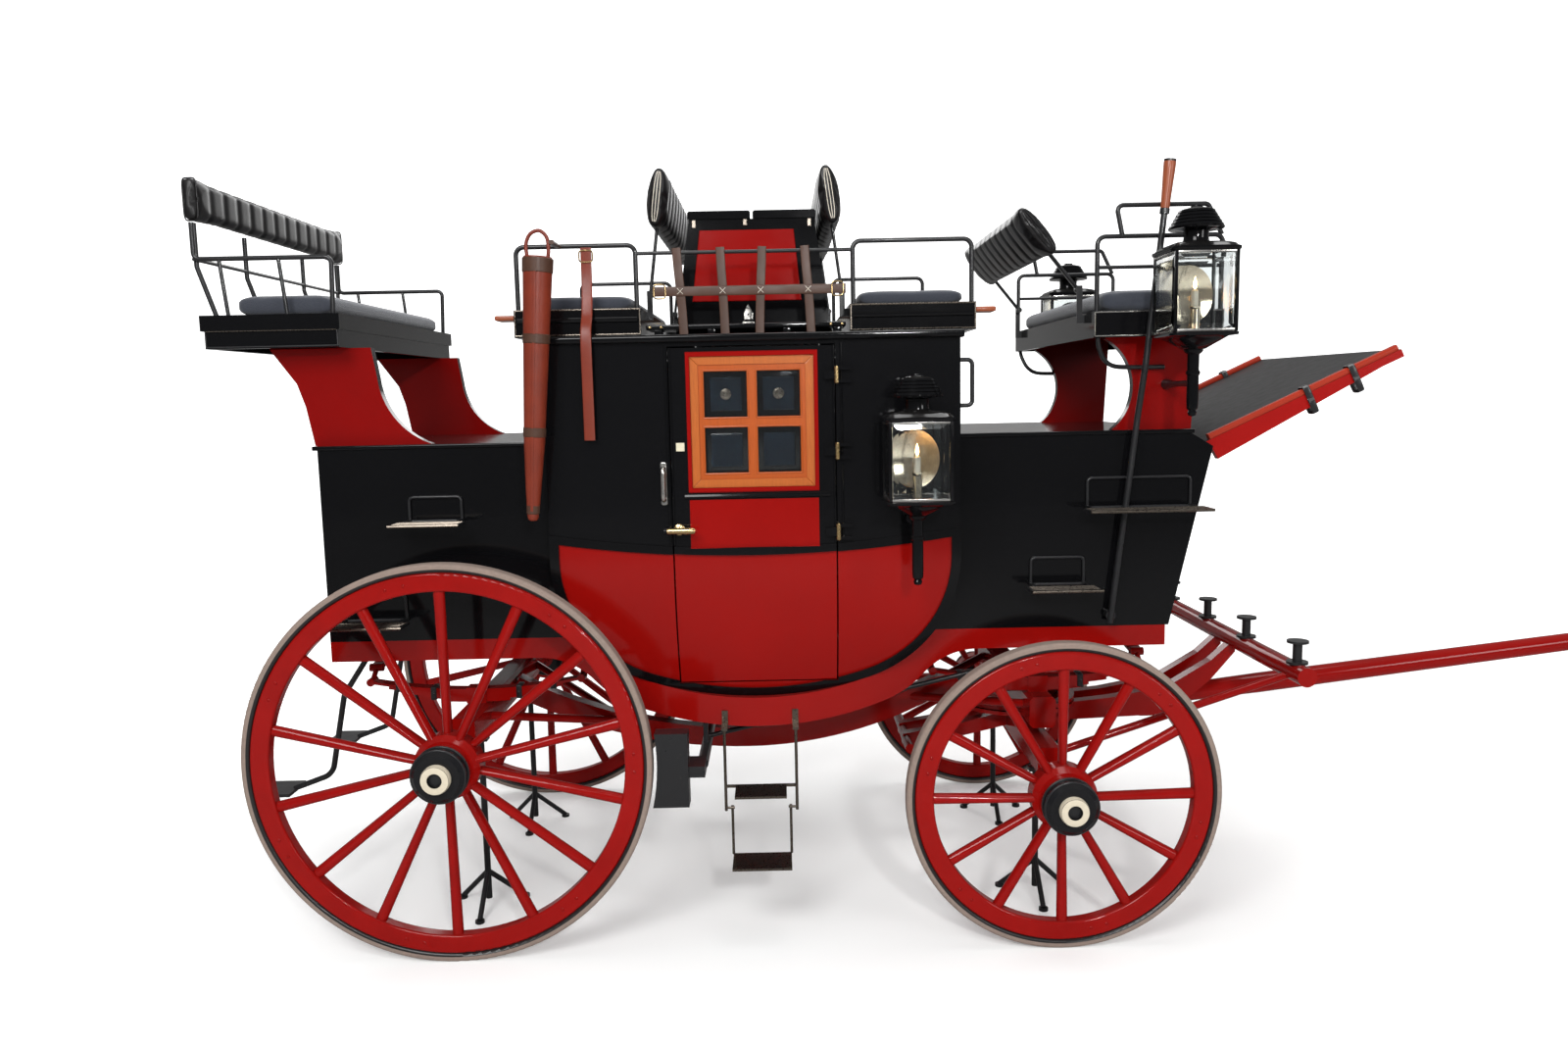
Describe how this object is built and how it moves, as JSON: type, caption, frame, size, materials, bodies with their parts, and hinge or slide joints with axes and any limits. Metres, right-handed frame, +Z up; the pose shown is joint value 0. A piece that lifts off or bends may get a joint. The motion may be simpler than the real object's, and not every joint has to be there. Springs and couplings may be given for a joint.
{
  "type": "park drag coach",
  "caption": "Four-horse private coach: closed cabin slung between two boots, roof and box seats, perch undercarriage, wooden wheels, pole, lamps and folding steps.",
  "frame": {"origin": "on the ground, at the middle of the overall length (hind seat back to pole tip) and of the width", "axes": "+X forward towards the pole tip, +Y to the coach's left, +Z up"},
  "size_m": [6.5074, 1.8, 2.5247],
  "materials": {
    "black": "coach black, deep gloss varnish",
    "red": "crimson coach paint, gloss varnish",
    "orange": "orange stained window sash, varnished",
    "glass": "clear flat glass",
    "iron": "wrought iron, gloss black",
    "steel": "bright steel",
    "tyre": "worn red rubber",
    "leather": "polished black leather",
    "cloth": "dark woollen cloth"
  },
  "bodies": {
    "coach": {"axle_stands": "iron", "body_irons": "iron", "body_mouldings": "black", "boot_lids": "black", "bottom_rails": "red", "brake_gear": "iron", "cabin_end_walls": "black", "cabin_floor": "black", "cabin_side_left": "black", "cabin_side_right": "black", "end_seat_irons": "iron", "end_seats": "black", "footboard": "red", "front_boot": "black", "hind_back": "leather", "imperial_chest": "black", "inside_cushions": "cloth", "inside_seats": "black", "lamp_cases": "black", "lamp_glass": "glass", "perch": "red", "rear_axle": "red", "rear_boot": "black", "roof": "black", "roof_irons": "iron", "roof_seats": "black", "seat_cushions": "cloth", "seat_risers": "red", "springs": "red", "step_hangers": "iron", "straps": "leather", "transom": "red", "umbrella_case": "leather"},
    "fore_carriage": {"fore_carriage": "red", "front_axle": "red", "pole": "red", "pole_hook": "steel", "roller_bolts": "iron"},
    "boot_door": {"boot_door": "black"},
    "imperial_lid_rear": {"imperial_lid_rear": "black"},
    "imperial_lid_front": {"imperial_lid_front": "black"},
    "roof_back_rear": {"roof_back_rear": "leather"},
    "roof_back_front": {"roof_back_front": "leather"},
    "box_back": {"box_back": "leather"},
    "door_left": {"door_left": "black", "door_sash_left": "orange", "door_glass_left": "glass"},
    "step_left": {"step_lower_left": "iron"},
    "wheel_rear_left": {"wheel_rear_left": "red", "tyre_rear_left": "tyre"},
    "wheel_front_left": {"wheel_front_left": "red", "tyre_front_left": "tyre"},
    "door_right": {"door_right": "black", "door_sash_right": "orange", "door_glass_right": "glass"},
    "step_right": {"step_lower_right": "iron"},
    "wheel_rear_right": {"wheel_rear_right": "red", "tyre_rear_right": "tyre"},
    "wheel_front_right": {"wheel_front_right": "red", "tyre_front_right": "tyre"}
  },
  "joints": [
    {"name": "steering", "type": "hinge", "parent": "coach", "child": "fore_carriage", "pos_m": [-0.50373, 0, 0.64], "axis": [0, 0, 1], "range_deg": [-18, 18]},
    {"name": "wheel_spin_rear_left", "type": "hinge", "parent": "coach", "child": "wheel_rear_left", "pos_m": [-2.45373, 0.75, 0.6475], "axis": [0, 1, 0], "continuous": true},
    {"name": "wheel_spin_front_left", "type": "hinge", "parent": "fore_carriage", "child": "wheel_front_left", "pos_m": [-0.50373, 0.75, 0.502], "axis": [0, 1, 0], "continuous": true},
    {"name": "door_hinge_left", "type": "hinge", "parent": "coach", "child": "door_left", "pos_m": [-1.20123, 0.643, 1.3], "axis": [0, 0, -1], "range_deg": [0, 90]},
    {"name": "step_fold_left", "type": "hinge", "parent": "coach", "child": "step_left", "pos_m": [-1.46873, 0.605, 0.43], "axis": [1, 0, 0], "range_deg": [0, 160]},
    {"name": "wheel_spin_rear_right", "type": "hinge", "parent": "coach", "child": "wheel_rear_right", "pos_m": [-2.45373, -0.75, 0.6475], "axis": [0, 1, 0], "continuous": true},
    {"name": "wheel_spin_front_right", "type": "hinge", "parent": "fore_carriage", "child": "wheel_front_right", "pos_m": [-0.50373, -0.75, 0.502], "axis": [0, 1, 0], "continuous": true},
    {"name": "door_hinge_right", "type": "hinge", "parent": "coach", "child": "door_right", "pos_m": [-1.20123, -0.643, 1.3], "axis": [0, 0, 1], "range_deg": [0, 90]},
    {"name": "step_fold_right", "type": "hinge", "parent": "coach", "child": "step_right", "pos_m": [-1.46873, -0.605, 0.43], "axis": [-1, 0, 0], "range_deg": [0, 160]},
    {"name": "boot_door_hinge", "type": "hinge", "parent": "coach", "child": "boot_door", "pos_m": [-2.90073, 0, 1.027], "axis": [0, -1, 0], "range_deg": [0, 90]},
    {"name": "imperial_hinge_rear", "type": "hinge", "parent": "coach", "child": "imperial_lid_rear", "pos_m": [-1.67273, 0, 2.3943], "axis": [0, -1, 0], "range_deg": [0, 85]},
    {"name": "imperial_hinge_front", "type": "hinge", "parent": "coach", "child": "imperial_lid_front", "pos_m": [-1.25073, 0, 2.3943], "axis": [0, 1, 0], "range_deg": [0, 85]},
    {"name": "roof_back_rear_fold", "type": "hinge", "parent": "coach", "child": "roof_back_rear", "pos_m": [-1.79973, 0, 2.126], "axis": [0, -1, 0], "range_deg": [0, 86]},
    {"name": "roof_back_front_fold", "type": "hinge", "parent": "coach", "child": "roof_back_front", "pos_m": [-1.16973, 0, 2.126], "axis": [0, 1, 0], "range_deg": [0, 86]},
    {"name": "box_back_fold", "type": "hinge", "parent": "coach", "child": "box_back", "pos_m": [-0.38873, 0, 2.116], "axis": [0, 1, 0], "range_deg": [0, 80]}
  ]
}
